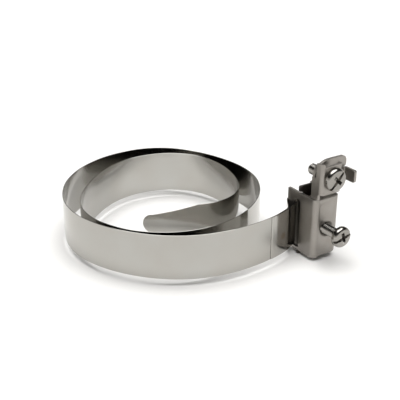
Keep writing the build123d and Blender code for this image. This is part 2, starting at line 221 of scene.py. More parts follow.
def set_ramp(node: bpy.types.Node, stops: list[tuple[float, Colour]]) -> None:
    """Set the stops of a colour ramp.

    Args:
        node: The colour ramp.
        stops: Position and colour of each stop, in order.
    """
    elements = node.color_ramp.elements
    while len(elements) < len(stops):
        elements.new(1.0)
    for element, (position, colour) in zip(elements, stops):
        element.position = position
        element.color = colour


# Meshes and objects


def linked(name: str, data: bpy.types.ID) -> bpy.types.Object:
    """Put data into the scene as an object at the origin.

    Args:
        name: Name of the object.
        data: Its mesh, light or camera.

    Returns:
        The new object.
    """
    thing = bpy.data.objects.new(name, data)
    bpy.context.scene.collection.objects.link(thing)
    return thing


def finished(mesh: bpy.types.Mesh, name: str, material: bpy.types.Material,
             crease: float = 35.0) -> bpy.types.Object:
    """Link a mesh as an object at the origin, shaded smooth up to a crease.

    Args:
        mesh: The finished mesh, with its place in its points.
        name: Name of the object.
        material: The piece's only material.
        crease: Angle in degrees past which an edge stays sharp.

    Returns:
        The new object.
    """
    mesh.materials.clear()
    mesh.materials.append(material)
    mesh.shade_smooth()
    mesh.set_sharp_from_angle(angle=math.radians(crease))
    return linked(name, mesh)


def baked(piece: bpy.types.Object) -> bpy.types.Mesh:
    """Mesh of an object with its modifiers applied; the object itself is removed.

    Args:
        piece: Object with live modifiers.

    Returns:
        A plain mesh.
    """
    graph = bpy.context.evaluated_depsgraph_get()
    mesh = bpy.data.meshes.new_from_object(piece.evaluated_get(graph))
    bpy.data.objects.remove(piece)
    return mesh


def face_outwards(mesh: bpy.types.Mesh) -> None:
    """Turn every face of a closed mesh outwards.

    Args:
        mesh: The mesh, which is changed in place.
    """
    work = bmesh.new()
    work.from_mesh(mesh)
    bmesh.ops.recalc_face_normals(work, faces=work.faces)
    work.to_mesh(mesh)
    work.free()


def add_bevel(piece: bpy.types.Object, width: float, segments: int, crease: float) -> bpy.types.Modifier:
    """Round an object's sharp edges with a live bevel.

    Args:
        piece: Object that gets the bevel.
        width: Width in metres.
        segments: Steps across the round.
        crease: Angle in degrees past which an edge is rounded.

    Returns:
        The bevel.
    """
    bevel = piece.modifiers.new("edges", "BEVEL")
    bevel.width = width
    bevel.segments = segments
    bevel.limit_method = "ANGLE"
    bevel.angle_limit = math.radians(crease)
    return bevel


# Finishes


@dataclass(frozen=True)
class ColdRolledStrip:
    """Cold rolled stainless strip.

    To the eye it is a pale grey near mirror.  Its reflections are drawn out across faint
    streaks that run along the metal, it is a little warmer in soft patches, and the weld
    leaves a small dull ring.  The streaks are really some hundredths of a millimetre apart
    and are drawn coarser here, so that they show as the eye sees them.
    """

    name: str = "cold_rolled_stainless_strip"
    metal: str = "#b4b4b1"
    warm: str = "#aba7a0"
    heat_tint: str = "#a39c90"
    roughness: float = 0.09
    gloss_below: float = 0.03
    gloss_above: float = 0.04
    anisotropy: float = 0.35
    line_pitch: float = 0.35 * MM
    line_length: float = 45 * MM
    line_roughness: float = 0.06
    relief_depth: float = 0.01 * MM
    relief_strength: float = 0.35
    cloud_size: float = 22 * MM
    weld_radius: float = 2.0 * MM
    weld_core: float = 0.45
    weld_rim: float = 1.5
    weld_dent: float = 6.0

    def build(self, weld: tuple[float, float]) -> bpy.types.Material:
        """Build the material.

        Args:
            weld: Place of the spot weld on the strap's UV map, in metres.

        Returns:
            The strip's material.
        """
        material, tree, surface = new_material(self.name)
        uv = add_node(tree, "ShaderNodeUVMap", {"uv_map": UV_ALONG}).outputs["UV"]
        line_place = self.stretched(tree, uv, self.line_length, self.line_pitch)
        lines = add_noise(tree, line_place, 1.0, detail=3.0, roughness=0.6)
        cloud_place = self.stretched(tree, uv, self.cloud_size, self.cloud_size)
        clouds = add_noise(tree, cloud_place, 1.0, detail=4.0, roughness=0.55)
        ring = self.weld_ring(tree, uv, weld)

        tone = add_mix(tree, clouds, srgb(self.metal), srgb(self.warm))
        tinted = add_mix(tree, ring, tone, srgb(self.heat_tint))
        tree.links.new(tinted, surface.inputs["Base Color"])
        gloss = add_gloss(tree, clouds, self.roughness - self.gloss_below, self.roughness + self.gloss_above)
        streaked = add_node(tree, "ShaderNodeMath", {"operation": "MULTIPLY_ADD"}, {
            0: lines, 1: self.line_roughness, 2: gloss})
        tree.links.new(streaked.outputs[0], surface.inputs["Roughness"])
        dented = add_node(tree, "ShaderNodeMath", {"operation": "MULTIPLY_ADD"}, {
            0: ring, 1: -self.weld_dent, 2: lines})
        relief = add_relief(tree, dented.outputs[0], self.relief_strength, self.relief_depth)
        tree.links.new(relief, surface.inputs["Normal"])
        surface.inputs["Metallic"].default_value = 1.0
        surface.inputs["Anisotropic"].default_value = self.anisotropy
        tangent = add_node(tree, "ShaderNodeTangent", {"direction_type": "UV_MAP", "uv_map": UV_ALONG})
        tree.links.new(tangent.outputs[0], surface.inputs["Tangent"])
        return material

    @staticmethod
    def stretched(tree: bpy.types.NodeTree, uv: bpy.types.NodeSocket, length: float,
                  height: float) -> bpy.types.NodeSocket:
        """Scale the UV map so that one noise cloud has a given size.

        Args:
            tree: The material's tree.
            uv: Socket with the UV map in metres.
            length: Size of a cloud along the strip.
            height: Size of a cloud across it.

        Returns:
            The scaled coordinates.
        """
        inputs = {"Vector": uv, "Scale": (1 / length, 1 / height, 1)}
        return add_node(tree, "ShaderNodeMapping", inputs=inputs).outputs[0]

    def weld_ring(self, tree: bpy.types.NodeTree, uv: bpy.types.NodeSocket,
                  weld: tuple[float, float]) -> bpy.types.NodeSocket:
        """Soft spot round the weld, 1 in its middle and 0 outside.

        Args:
            tree: The material's tree.
            uv: Socket with the UV map in metres.
            weld: Place of the weld on the map.

        Returns:
            The spot's strength.
        """
        centre = add_node(tree, "ShaderNodeCombineXYZ", inputs={"X": weld[0], "Y": weld[1]})
        away = add_node(tree, "ShaderNodeVectorMath", {"operation": "DISTANCE"}, {
            0: uv, 1: centre.outputs[0]})
        ring = add_node(tree, "ShaderNodeMapRange", {"interpolation_type": "SMOOTHSTEP"}, {
            "Value": away.outputs["Value"], "From Min": self.weld_core * self.weld_radius,
            "From Max": self.weld_rim * self.weld_radius, "To Min": 1.0, "To Max": 0.0})
        return ring.outputs["Result"]


@dataclass(frozen=True)
class PlatedSteel:
    """Plated steel, from tumbled sheet to a bright turned screw.

    A tumbled and zinc plated sheet looks a soft satin grey: it takes broad blurred
    highlights, and a fine grain keeps its flats from looking like plastic.  A bright nickel
    plated screw shows small hard highlights on the rounded rim of its head.
    """

    name: str
    metal: str
    shade: str
    roughness: float = 0.34
    gloss_below: float = 0.06
    gloss_above: float = 0.08
    grain: float = 0.45 * MM
    relief_depth: float = 0.02 * MM
    relief_strength: float = 0.3
    cloud_size: float = 6 * MM

    def build(self) -> bpy.types.Material:
        """Build the material.

        Returns:
            The material, with a fine grain on Object coordinates.
        """
        material, tree, surface = new_material(self.name)
        place = add_node(tree, "ShaderNodeTexCoord").outputs["Object"]
        fine = add_noise(tree, place, 1 / self.grain, detail=4.0, roughness=0.65)
        clouds = add_noise(tree, place, 1 / self.cloud_size, detail=3.0, roughness=0.5)
        tone = add_mix(tree, clouds, srgb(self.metal), srgb(self.shade))
        tree.links.new(tone, surface.inputs["Base Color"])
        gloss = add_gloss(tree, fine, self.roughness - self.gloss_below, self.roughness + self.gloss_above)
        tree.links.new(gloss, surface.inputs["Roughness"])
        relief = add_relief(tree, fine, self.relief_strength, self.relief_depth)
        tree.links.new(relief, surface.inputs["Normal"])
        surface.inputs["Metallic"].default_value = 1.0
        return material


@dataclass(frozen=True)
class PaperFloor:
    """Matt white paper, the plain floor of the studio, without any shine."""

    name: str = "white_paper"
    colour: str = "#f4f3f1"
    roughness: float = 0.9
    shine: float = 0.1

    def build(self) -> bpy.types.Material:
        """Build the floor's material.

        Returns:
            The paper.
        """
        material, _, surface = new_material(self.name)
        surface.inputs["Base Color"].default_value = srgb(self.colour)
        surface.inputs["Roughness"].default_value = self.roughness
        surface.inputs["Specular IOR Level"].default_value = self.shine
        return material


# Strap


@dataclass
class StrapLine:
    """Line of the strap in the plan, read from the lower edge of its solid and made smooth.

    The solid's line is a row of tangent arcs.  The coil is springy strip, whose curvature
    changes gradually, so its heading is smoothed from where the strap leaves the head.
    """

    node: bpy.types.Object
    step: float = 0.6 * MM
    smooth_over: float = 7 * MM
    smooth_reach: float = 3.0
    springy_from: float = 44 * MM
    springy_blend: float = 18 * MM
    same_point: float = 1e-7
    same_height: float = 1e-6
    corner_degrees: float = 60.0
    points: np.ndarray = field(init=False)
    headings: np.ndarray = field(init=False)
    stations: np.ndarray = field(init=False)
    low: float = field(init=False)
    root: float = field(init=False)
    inward: float = field(init=False)

    def __post_init__(self) -> None:
        """Read the line from the welded tail to the root of the tongue, and smooth it."""
        outline, self.low = self.lower_outline()
        side, other = self.split_sides(outline)
        chord = np.diff(side, axis=0)
        place = np.concatenate([[0.0], np.cumsum(np.linalg.norm(chord, axis=1))])
        middle = (place[:-1] + place[1:]) / 2
        turn = np.unwrap(np.arctan2(chord[:, 1], chord[:, 0]))
        self.root = float(place[-1])
        self.stations = np.linspace(0, self.root, int(self.root / self.step) + 1)
        raw = np.interp(self.stations, middle, turn)
        share = self.springy_share()
        share = share * share * (3 - 2 * share)
        self.headings = raw * (1 - share) + self.smoothed(raw) * share
        self.points = self.walk(side[0])
        self.inward = 1.0 if self.is_left(side, other) else -1.0

    def springy_share(self) -> np.ndarray:
        """How far each station lies in the free coil.

        Returns:
            0 at the head, 1 once the strap has left it.
        """
        return np.clip((self.stations - self.springy_from) / self.springy_blend, 0, 1)

    def lower_outline(self) -> tuple[np.ndarray, float]:
        """Walk round the solid's lowest flat face.

        Returns:
            Plan points in metres, in order, and the face's height.
        """
        work = bmesh.new()
        work.from_mesh(self.node.data)
        bmesh.ops.remove_doubles(work, verts=work.verts, dist=self.same_point)
        low = min(v.co.z for v in work.verts)
        base = {f for f in work.faces if all(v.co.z < low + self.same_height for v in f.verts)}
        rim = [e for e in work.edges if sum(f in base for f in e.link_faces) == 1]
        following: dict[Any, list[Any]] = {}
        for edge in rim:
            for one, two in (edge.verts, reversed(edge.verts)):
                following.setdefault(one, []).append(two)
        start = rim[0].verts[0]
        loop, here, before = [start], following[start][0], start
        while here is not start:
            loop.append(here)
            ahead = [v for v in following[here] if v is not before]
            before, here = here, ahead[0]
        points = np.array([(v.co.x, v.co.y) for v in loop])
        work.free()
        return points, low

    def split_sides(self, outline: np.ndarray) -> tuple[np.ndarray, np.ndarray]:
        """Cut the outline at its four sharp corners into its two long sides.

        Args:
            outline: Points round the lower face.

        Returns:
            Both sides, each from the welded tail to the root of the tongue.
        """
        ahead = np.roll(outline, -1, axis=0) - outline
        behind = outline - np.roll(outline, 1, axis=0)
        cross = behind[:, 0] * ahead[:, 1] - behind[:, 1] * ahead[:, 0]
        dot = (behind * ahead).sum(axis=1)
        corners = np.flatnonzero(np.abs(np.arctan2(cross, dot)) > math.radians(self.corner_degrees))
        closed = np.roll(outline, -corners[0], axis=0)
        closed = np.vstack([closed, closed[:1]])
        ends = np.append(corners - corners[0], len(outline))
        runs = [closed[ends[i]:ends[i + 1] + 1] for i in range(4)]
        head = np.array([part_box("head_bracket")[0][0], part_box("head_bracket")[1][1]])
        ordered = []
        for run in sorted(runs, key=len, reverse=True)[:2]:
            starts_at_head = np.linalg.norm(run[0] - head) < np.linalg.norm(run[-1] - head)
            ordered.append(run if starts_at_head else run[::-1])
        return ordered[0], ordered[1]

    def smoothed(self, values: np.ndarray) -> np.ndarray:
        """Average values along the line with a bell shaped weight.

        Args:
            values: One value for each station.

        Returns:
            The averages, with the ends carried on at their own slope.
        """
        reach = int(self.smooth_reach * self.smooth_over / self.step)
        offsets = np.arange(-reach, reach + 1) * self.step
        weight = np.exp(-0.5 * (offsets / self.smooth_over) ** 2)
        before = values[0] - (values[1] - values[0]) * np.arange(reach, 0, -1)
        after = values[-1] + (values[-1] - values[-2]) * np.arange(1, reach + 1)
        padded = np.concatenate([before, values, after])
        return np.convolve(padded, weight / weight.sum(), mode="valid")

    def walk(self, start: np.ndarray) -> np.ndarray:
        """Follow the headings from a start point.

        Args:
            start: Plan point of the welded tail.

        Returns:
            A plan point for each station.
        """
        step = self.stations[1] - self.stations[0]
        middle = (self.headings[:-1] + self.headings[1:]) / 2
        moves = np.column_stack([np.cos(middle), np.sin(middle)]) * step
        return np.vstack([start, start + np.cumsum(moves, axis=0)])

    @staticmethod
    def is_left(side: np.ndarray, other: np.ndarray) -> bool:
        """Say if one side lies to the left of another.

        Args:
            side: Points that give the line and its direction.
            other: Points of the other side.

        Returns:
            True if the other side is on the left.
        """
        ahead = side[1] - side[0]
        across = other[0] - side[0]
        return ahead[0] * across[1] - ahead[1] * across[0] > 0

    def lengthen(self, lengths: np.ndarray, curvature: float) -> None:
        """Add stations past the root of the tongue, on an arc that bends the way the coil turns.

        Args:
            lengths: Distances past the root, in metres, in order.
            curvature: Bend of the arc, in radians per metre.
        """
        root = self.headings[-1]
        turn = math.copysign(curvature, root - self.headings[0]) * lengths
        reach = lengths * np.sinc(turn / 2 / math.pi)
        way = np.column_stack([np.cos(root + turn / 2), np.sin(root + turn / 2)])
        self.points = np.vstack([self.points, self.points[-1] + reach[:, None] * way])
        self.headings = np.append(self.headings, root + turn)
        self.stations = np.append(self.stations, self.root + lengths)

    def normals(self) -> np.ndarray:
        """Directions from this side towards the other one.

        Returns:
            A unit vector for each station.
        """
        return self.inward * np.column_stack([-np.sin(self.headings), np.cos(self.headings)])


@dataclass
class Strap:
    """The strap: one strip, with a welded tail, a coil and a round ended tongue."""

    node: bpy.types.Object
    finish: ColdRolledStrip
    thickness: float = 0.3 * MM
    width: float = 25 * MM
    edge_round: float = 0.07 * MM
    edge_shoulder: float = 0.3
    tongue_length: float = 31 * MM
    tongue_turn: float = 26.0
    tip_width: float = 11.2 * MM
    tip_degrees: float = 88.0
    tip_points: int = 24
    strips: int = 16
    wave: float = 0.07 * MM
    wave_length: float = 63 * MM
    ripple_height: float = 0.5
    ripple_length: float = 0.37
    ripple_start: float = 1.3
    wave_tilt: float = 0.4
    cup: float = 0.05 * MM
    weld: tuple[float, float] = (10 * MM, -2 * MM)
    sheared_over: float = 1.2 * MM
    sheared_to: float = 0.35

    def build(self) -> bpy.types.Object:
        """Build the strip with its UV map along the metal.

        Returns:
            The finished strap.
        """
        line = StrapLine(self.node)
        rows = self.section_rows(self.half_widths(line))
        self.thin_the_tail(line, rows)
        self.sway_the_coil(line, rows)
        mesh = self.skin(line, rows)
        face_outwards(mesh)
        strap = finished(mesh, "strap_smooth", self.finish.build(self.weld))
        LOG.info("strap: %.0f mm long, %d faces", line.stations[-1] / MM, len(mesh.polygons))
        return strap

    def half_widths(self, line: StrapLine) -> np.ndarray:
        """Half the strip's width at each station, with the taper and the round tip.

        Args:
            line: The strap's line, which this lengthens to the tip of the tongue.

        Returns:
            Half widths in metres.
        """
        tip = self.tip_width / 2
        straight = self.tongue_length - tip
        along = np.arange(line.step, straight, line.step)
        angles = np.radians(np.linspace(0, self.tip_degrees, self.tip_points))
        lengths = np.concatenate([along, straight + tip * np.sin(angles)])
        full = np.full(len(line.stations), self.width / 2)
        line.lengthen(lengths, math.radians(self.tongue_turn) / self.tongue_length)
        taper = self.width / 2 + (tip - self.width / 2) * along / straight
        return np.concatenate([full, taper, tip * np.cos(angles)])

    def section_rows(self, half: np.ndarray) -> np.ndarray:
        """Closed section of the strip at each station.

        Args:
            half: Half widths of the strip.

        Returns:
            For each station, its section points as height and depth in metres.
        """
        share = np.linspace(-1, 1, self.strips + 1)
        flat = np.minimum(self.edge_round, half * self.edge_shoulder)
        skin = share[None, :] * (half - flat)[:, None]
        full = half[:, None]
        heights = np.hstack([skin, full, full, skin[:, ::-1], -full, -full])
        near, far = self.edge_shoulder * self.thickness, (1 - self.edge_shoulder) * self.thickness
        depths = np.concatenate([np.zeros(self.strips + 1), [near, far],
                                 np.full(self.strips + 1, self.thickness), [far, near]])
        return np.dstack([heights, np.tile(depths, (len(half), 1))])

    def thin_the_tail(self, line: StrapLine, rows: np.ndarray) -> None:
        """Thin the welded end down to the edge that the shears leave.

        Args:
            line: The strap's line.
            rows: The sections, whose depths are changed.
        """
        base = self.thickness if line.inward > 0 else 0.0
        thin = np.clip(self.sheared_to + (1 - self.sheared_to) * line.stations / self.sheared_over, 0, 1)
        rows[:, :, 1] = base + (rows[:, :, 1] - base) * thin[:, None]

    def sway_the_coil(self, line: StrapLine, rows: np.ndarray) -> None:
        """Give the free coil the slight waves and the slight cup of thin strip.

        Args:
            line: The strap's line.
            rows: The sections, whose depths are changed.
        """
        sway = self.wave * np.sin(2 * math.pi * line.stations / self.wave_length)
        ripple = 2 * math.pi * line.stations / (self.ripple_length * self.wave_length) + self.ripple_start
        sway += self.ripple_height * self.wave * np.sin(ripple)
        across = rows[:, :, 0] / (self.width / 2)
        tilted = sway[:, None] * (1 - self.wave_tilt + self.wave_tilt * across)
        rows[:, :, 1] += line.springy_share()[:, None] * (tilted + self.cup * across ** 2)

    def skin(self, line: StrapLine, rows: np.ndarray) -> bpy.types.Mesh:
        """Join the sections along the line into one closed mesh.

        Args:
            line: The strap's line.
            rows: Section points of each station, as height and depth.

        Returns:
            The mesh, with the distance along the metal and the height as its UV map.
        """
        count, size = rows.shape[:2]
        plan = line.points[:, None, :] + line.normals()[:, None, :] * rows[:, :, 1:]
        middle = line.low + self.width / 2
        points = np.dstack([plan, middle + rows[:, :, 0]]).reshape(-1, 3)
        ring = np.arange(size)
        after = (ring + 1) % size
        faces = []
        for here in range(0, (count - 1) * size, size):
            there = here + size
            quads = np.column_stack([here + ring, there + ring, there + after, here + after])
            faces += quads.tolist()
        faces.append(list(range(size)))
        faces.append(list(range((count - 1) * size, count * size))[::-1])
        mesh = bpy.data.meshes.new("strap")
        mesh.from_pydata(points.tolist(), [], faces)
        corner = np.empty(len(mesh.loops), dtype=np.int32)
        mesh.loops.foreach_get("vertex_index", corner)
        along = np.repeat(line.stations, size)[corner]
        height = rows[:, :, 0].reshape(-1)[corner]
        layer = mesh.uv_layers.new(name=UV_ALONG)
        layer.data.foreach_set("uv", np.column_stack([along, height]).ravel())
        return mesh


# Folded sheets


@dataclass
class FoldedSheet:
    """A stamped and folded sheet, from its solid, with the soft edges that tumbling leaves."""

    node: bpy.types.Object
    name: str
    finish: PlatedSteel
    same_point: float = 2e-6
    flat_degrees: float = 0.6
    edge_radius: float = 0.22 * MM
    segments: int = 3
    crease: float = 38.0
    shaded_crease: float = 30.0

    def build(self) -> bpy.types.Object:
        """Merge the solid's triangles, clean its flats and round its edges.

        Returns:
            The finished sheet.
        """
        work = bmesh.new()
        work.from_mesh(self.node.data)
        bmesh.ops.remove_doubles(work, verts=work.verts, dist=self.same_point)
        flat = math.radians(self.flat_degrees)
        bmesh.ops.dissolve_limit(work, angle_limit=flat, verts=work.verts, edges=work.edges)
        mesh = bpy.data.meshes.new(self.name)
        work.to_mesh(mesh)
        work.free()
        raw = linked(self.name + "_raw", mesh)
        bevel = add_bevel(raw, self.edge_radius, self.segments, self.crease)
        bevel.use_clamp_overlap = True
        bevel.miter_outer = "MITER_ARC"
        rounded = baked(raw)
        LOG.info("%s: %d faces", self.name, len(rounded.polygons))
        return finished(rounded, self.name, self.finish.build(), crease=self.shaded_crease)


# Screws


@dataclass
class ComboScrew:
    """An M6 pan head screw with a slot and a cross in one recess, its head to the front."""

    node: bpy.types.Object
    name: str
    finish: PlatedSteel
    slot_degrees: float
    head_height: float = 3.5 * MM
    head_round: float = 1.7 * MM
    round_steps: int = 12
    round_drop: float = 0.2 * MM
    crown: float = 0.35 * MM
    crown_steps: int = 6
    rim_chamfer: float = 0.35 * MM
    rim_corner: float = 0.1 * MM
    neck_relief: float = 0.15 * MM
    neck_fillet: float = 0.25 * MM
    neck_length: float = 0.6 * MM
    slot_width: float = 1.5 * MM
    slot_depth: float = 1.9 * MM
    slot_reach: float = 1.2
    cross_span: float = 6.6 * MM
    cross_depth: float = 2.9 * MM
    cross_width: float = 1.9 * MM
    cross_flare: float = 1.12
    cross_draft: float = 0.45
    recess_draft: float = 0.5
    cutter_rise: float = 1.0 * MM
    edge_radius: float = 0.14 * MM
    edge_segments: int = 2
    edge_crease: float = 42.0
    shaded_crease: float = 32.0
    crest_radius: float = 2.98 * MM
    thread_depth: float = 0.5 * MM
    thread_start: float = 0.3 * MM
    pitch: float = 1.0 * MM
    sides: int = 96
    same_point: float = 1e-7
    axis: Vector = field(init=False)
    head_radius: float = field(init=False)
    length: float = field(init=False)

    def __post_init__(self) -> None:
        """Take the screw's place and size from its solid's box."""
        low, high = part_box(self.node["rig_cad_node"])
        self.axis = Vector(((low.x + high.x) / 2, low.y, (low.z + high.z) / 2))
        self.head_radius = (high.x - low.x) / 2
        self.length = high.y - low.y

    def build(self) -> bpy.types.Object:
        """Build the head and the threaded shank as one piece.

        Returns:
            The finished screw.
        """
        head = self.head_with_recess()
        thread = self.thread_mesh(head.materials[0])
        work = bmesh.new()
        work.from_mesh(head)
        work.from_mesh(thread)
        mesh = bpy.data.meshes.new(self.name)
        work.to_mesh(mesh)
        work.free()
        LOG.info("%s: %d faces", self.name, len(mesh.polygons))
        return finished(mesh, self.name, head.materials[0], crease=self.shaded_crease)

    def head_profile(self) -> list[tuple[float, float]]:
        """Half section of the head and of the plain neck behind it.

        Returns:
            Radius and distance behind the head's face, from pole to pole.
        """
        rim, under = self.head_radius, self.head_height
        flat = rim - self.head_round
        profile = [(0.0, 0.0)]
        for i in range(1, self.crown_steps + 1):
            radius = flat * i / self.crown_steps
            profile.append((radius, self.crown * (radius / rim) ** 2))
        start = profile[-1][1]
        for i in range(1, self.round_steps + 1):
            angle = math.radians(90 * i / self.round_steps)
            drop = (self.head_round + self.round_drop) * (1 - math.cos(angle))
            profile.append((flat + self.head_round * math.sin(angle), start + drop))
        chamfer, corner = self.rim_chamfer, self.rim_corner
        profile += [(rim, under - chamfer), (rim - corner, under - corner), (rim - chamfer, under)]
        neck, fillet = self.crest_radius - self.neck_relief, self.neck_fillet
        end = under + self.neck_length
        profile += [(neck + fillet, under), (neck, under + fillet), (neck, end), (0.0, end)]
        return profile

    def head_with_recess(self) -> bpy.types.Mesh:
        """Turn the head, cut its recess and ease the cut's edges.

        Returns:
            The head's mesh, in place.
        """
        mesh = self.turned(self.head_profile(), self.name + "_head")
        mesh.materials.append(self.finish.build())
        head = linked(self.name + "_head", mesh)
        cutters = [self.slot_cutter(), self.cross_cutter(0.0), self.cross_cutter(90.0)]
        for cutter in cutters:
            cut = head.modifiers.new("recess", "BOOLEAN")
            cut.operation = "DIFFERENCE"
            cut.solver = "EXACT"
            cut.object = cutter
        add_bevel(head, self.edge_radius, self.edge_segments, self.edge_crease)
        done = baked(head)
        for cutter in cutters:
            bpy.data.objects.remove(cutter)
        return done

    def turned(self, profile: list[tuple[float, float]], name: str) -> bpy.types.Mesh:
        """Turn a profile round the screw's axis into a closed mesh.

        Args:
            profile: Radius and distance behind the head's face, from pole to pole.
            name: Name of the mesh.

        Returns:
            The closed mesh, in place.
        """
        points, faces = [], []
        for radius, back in profile[1:-1]:
            for k in range(self.sides):
                angle = 2 * math.pi * k / self.sides
                points.append((self.axis.x + radius * math.cos(angle), self.axis.y + back,
                               self.axis.z + radius * math.sin(angle)))
        rings = len(profile) - 2
        pairs = [(k, (k + 1) % self.sides) for k in range(self.sides)]
        for here in range(0, (rings - 1) * self.sides, self.sides):
            there = here + self.sides
            faces += [(here + k, here + after, there + after, there + k) for k, after in pairs]
        for ring, pole in ((0, profile[0]), (rings - 1, profile[-1])):
            points.append((self.axis.x, self.axis.y + pole[1], self.axis.z))
            base, tip = ring * self.sides, len(points) - 1
            faces += [(base + k, base + after, tip) for k, after in pairs]
        mesh = bpy.data.meshes.new(name)
        mesh.from_pydata(points, [], faces)
        face_outwards(mesh)
        return mesh

    def placed_cutter(self, mesh: bpy.types.Mesh, degrees: float, name: str) -> bpy.types.Object:
        """Turn a cutter about the screw's axis and put it on the head's face.

        Args:
            mesh: The cutter, with its axis along Y and the head's face at 0.
            degrees: Turn about the axis.
            name: Name of the object.

        Returns:
            The cutter, left out of renders.
        """
        mesh.transform(Matrix.Translation(self.axis) @ Matrix.Rotation(math.radians(-degrees), 4, "Y"))
        face_outwards(mesh)
        cutter = linked(name, mesh)
        cutter.hide_render = True
        return cutter

    def slot_cutter(self) -> bpy.types.Object:
        """Make the bar that cuts the slot right across the head.

        Returns:
            The cutter.
        """
        long, half = self.head_radius * self.slot_reach, self.slot_width / 2
        front, back = -self.cutter_rise, self.slot_depth
        corners = [(x, y, z) for x in (-long, long) for y in (front, back) for z in (-half, half)]
        faces = [(0, 1, 3, 2), (4, 6, 7, 5), (0, 4, 5, 1), (2, 3, 7, 6), (0, 2, 6, 4), (1, 5, 7, 3)]
        mesh = bpy.data.meshes.new("slot_cutter")
        mesh.from_pydata(corners, [], faces)
        return self.placed_cutter(mesh, self.slot_degrees, self.name + "_slot")

    def cross_cutter(self, extra: float) -> bpy.types.Object:
        """Make the tapered wedge that cuts one bar of the cross.

        Args:
            extra: Turn of the bar from the slot, in degrees.

        Returns:
            The cutter.
        """
        points = []
        deep = 1 - self.recess_draft
        for back, share in ((-self.cutter_rise, self.cross_flare), (0.0, 1.0), (self.cross_depth, deep)):
            long = self.cross_span / 2 * share
            half = self.cross_width / 2 * (1 - self.cross_draft + self.cross_draft * share)
            points += [(-long, back, -half), (long, back, -half), (long, back, half), (-long, back, half)]
        faces = [(0, 1, 2, 3), (8, 11, 10, 9)]
        for base in (0, 4):
            for k in range(4):
                after = (k + 1) % 4
                faces.append((base + k, base + after, base + 4 + after, base + 4 + k))
        mesh = bpy.data.meshes.new("cross_cutter")
        mesh.from_pydata(points, [], faces)
        return self.placed_cutter(mesh, self.slot_degrees + extra, self.name + f"_cross{extra:.0f}")

    def thread_mesh(self, material: bpy.types.Material) -> bpy.types.Mesh:
        """Threaded shank, made by the thread's node tree and closed at both ends.

        Args:
            material: The screw's material, which the tree sets.

        Returns:
            The shank's mesh, in place.
        """
        start = self.head_height + self.thread_start
        tree = ThreadTree(material).build()
        carrier = linked(self.name + "_thread", bpy.data.meshes.new(self.name + "_thread"))
        nodes = carrier.modifiers.new("thread", "NODES")
        nodes.node_group = tree
        sizes = {"Length": self.length - start, "Pitch": self.pitch, "Crest radius": self.crest_radius,
                 "Depth": self.thread_depth}
        for item in tree.interface.items_tree:
            if item.item_type == "SOCKET" and item.in_out == "INPUT" and item.name in sizes:
                nodes[item.identifier] = float(sizes[item.name])
        mesh = baked(carrier)
        mesh.transform(Matrix.Translation(self.axis + Vector((0, start, 0))))
        work = bmesh.new()
        work.from_mesh(mesh)
        bmesh.ops.remove_doubles(work, verts=work.verts, dist=self.same_point)
        rims = [e for e in work.edges if e.is_boundary]
        bmesh.ops.holes_fill(work, edges=rims, sides=0)
        bmesh.ops.recalc_face_normals(work, faces=work.faces)
        work.to_mesh(mesh)
        work.free()
        return mesh


